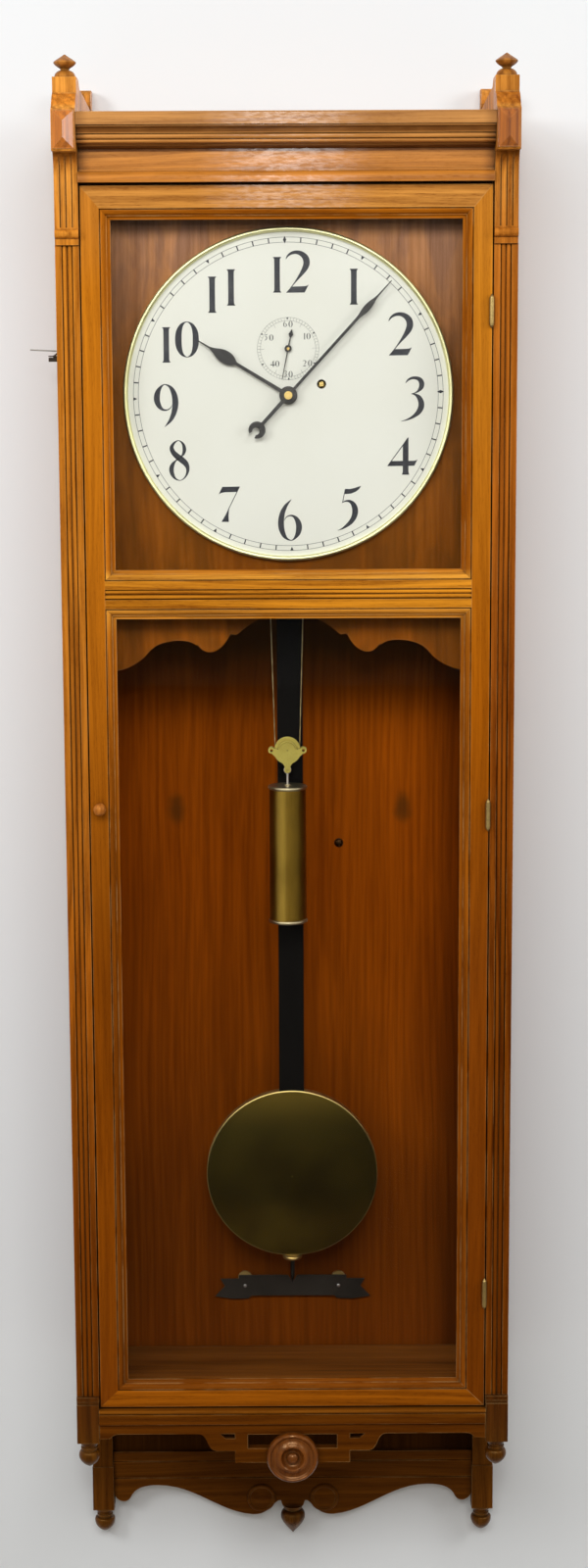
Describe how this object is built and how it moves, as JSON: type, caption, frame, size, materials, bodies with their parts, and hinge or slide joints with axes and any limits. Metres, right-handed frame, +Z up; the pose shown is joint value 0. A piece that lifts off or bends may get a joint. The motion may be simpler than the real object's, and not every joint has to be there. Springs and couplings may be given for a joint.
{
  "type": "regulator clock",
  "caption": "Tall weight-driven wall regulator in a carved oak case with a glazed door, round white dial, seconds pendulum and brass weight.",
  "frame": {"origin": "centre of the hanger hole in the plane of the case's back, where a hook in the wall carries the clock", "axes": "+X to the right as seen from the front, +Y into the wall, +Z up"},
  "size_m": [0.5327, 0.255, 1.754],
  "materials": {
    "oak": "satin varnish",
    "red_wood": "satin varnish",
    "back_wood": "dull varnish",
    "black_wood": "dull black paint",
    "dial_white": "satin",
    "brass": "polished, a little tarnished",
    "dark_brass": "brushed, tarnished",
    "cable": "stranded",
    "steel": "plain",
    "black_iron": "dull",
    "blued_steel": "gloss black",
    "glass": "clear"
  },
  "bodies": {
    "case": {"back_board": "back_wood", "left_side": "oak", "right_side": "oak", "top_board": "oak", "bottom_board": "oak", "cornice": "oak", "frieze": "oak", "consoles": "oak", "pilasters": "oak", "corner_blocks": "oak", "top_finials": "oak", "drop_finials": "oak", "base_moulding": "oak", "front_apron": "oak", "rosette": "red_wood", "back_posts": "oak", "back_apron": "oak", "apron_roundels": "oak", "dial_board": "back_wood", "dial": "dial_white", "dial_bezel": "brass", "case_cleats": "oak", "hanger_plate": "steel", "wood_screws": "steel", "beat_plate": "black_iron", "beat_studs": "brass", "side_bracket": "black_iron", "seat_board": "oak", "movement_frame": "brass", "suspension_cock": "brass", "weight_cable": "cable", "case_hinges": "brass"},
    "door": {"door_stiles": "oak", "top_rail": "oak", "middle_rail": "oak", "bottom_rail": "oak", "door_mouldings": "oak", "door_glass": "glass", "glass_beads": "oak", "door_knob": "red_wood", "door_hinges": "brass"},
    "pendulum": {"pendulum_rod": "black_wood", "rating_screw": "steel", "suspension_spring": "steel"},
    "bob": {"pendulum_bob": "dark_brass"},
    "nut": {"rating_nut": "brass"},
    "crutch": {"anchor": "steel"},
    "escape": {"escape_wheel": "brass", "seconds_hand": "blued_steel"},
    "third": {"third_wheel": "brass"},
    "centre": {"centre_wheel": "brass", "minute_hand": "blued_steel"},
    "motion": {"motion_wheel": "brass"},
    "hour": {"hour_wheel": "brass", "hour_hand": "blued_steel"},
    "great": {"great_wheel": "brass"},
    "drum": {"winding_drum": "brass"},
    "weight": {"weight": "brass", "pulley_bracket": "brass"},
    "sheave": {"pulley": "brass"}
  },
  "joints": [
    {"name": "door_swing", "type": "hinge", "parent": "case", "child": "door", "pos_m": [0.219, -0.2219, -0.6985], "axis": [0, 0, 1], "range_deg": [0, 100]},
    {"name": "pendulum_swing", "type": "hinge", "parent": "case", "child": "pendulum", "pos_m": [0.001, -0.089, -0.16], "axis": [0, 1, 0], "range_deg": [-2.5, 2.5]},
    {"name": "anchor_rock", "type": "hinge", "parent": "case", "child": "crutch", "pos_m": [0.001, -0.119, -0.16], "axis": [0, 1, 0], "range_deg": [-2.5, 2.5]},
    {"name": "bob_slide", "type": "slide", "parent": "pendulum", "child": "bob", "axis": [0, 0, 1], "range_m": [-0.006, 0.006]},
    {"name": "nut_turn", "type": "hinge", "parent": "bob", "child": "nut", "pos_m": [0.001, -0.089, -1.253], "axis": [0, 0, 1], "range_deg": [-2165, 2165]},
    {"name": "minute_turn", "type": "hinge", "parent": "case", "child": "centre", "pos_m": [0.001, -0.159, -0.24], "axis": [0, 1, 0], "continuous": true},
    {"name": "third_turn", "type": "hinge", "parent": "case", "child": "third", "pos_m": [-0.01259, -0.139, -0.21158], "axis": [0, 1, 0], "continuous": true},
    {"name": "seconds_turn", "type": "hinge", "parent": "case", "child": "escape", "pos_m": [0.001, -0.159, -0.19], "axis": [0, 1, 0], "continuous": true},
    {"name": "motion_turn", "type": "hinge", "parent": "case", "child": "motion", "pos_m": [-0.01314, -0.164, -0.25414], "axis": [0, 1, 0], "continuous": true},
    {"name": "hour_turn", "type": "hinge", "parent": "case", "child": "hour", "pos_m": [0.001, -0.179, -0.24], "axis": [0, 1, 0], "continuous": true},
    {"name": "great_turn", "type": "hinge", "parent": "case", "child": "great", "pos_m": [0.0372, -0.121, -0.2281], "axis": [0, 1, 0], "continuous": true},
    {"name": "weight_slide", "type": "slide", "parent": "case", "child": "weight", "axis": [0, 0, 1], "range_m": [-0.5, 0.24], "deforming": ["weight_cable"]},
    {"name": "drum_turn", "type": "hinge", "parent": "case", "child": "drum", "pos_m": [0.0372, -0.136, -0.2281], "axis": [0, 1, 0], "range_deg": [-4190, 2012]},
    {"name": "sheave_turn", "type": "hinge", "parent": "weight", "child": "sheave", "pos_m": [-0.002, -0.136, -0.637], "axis": [0, 1, 0], "range_deg": [-1030, 2142]}
  ],
  "couplings": [
    {"joint": "anchor_rock", "follows": "pendulum_swing", "ratio": 1},
    {"joint": "nut_turn", "follows": "bob_slide", "rad_per_m": 6283.2},
    {"joint": "third_turn", "follows": "minute_turn", "ratio": -8},
    {"joint": "seconds_turn", "follows": "minute_turn", "ratio": 60},
    {"joint": "motion_turn", "follows": "minute_turn", "ratio": -0.33333},
    {"joint": "hour_turn", "follows": "minute_turn", "ratio": 0.083333},
    {"joint": "great_turn", "follows": "minute_turn", "ratio": -0.083333},
    {"joint": "drum_turn", "follows": "weight_slide", "rad_per_m": 145.99},
    {"joint": "sheave_turn", "follows": "weight_slide", "rad_per_m": -72.464}
  ]
}
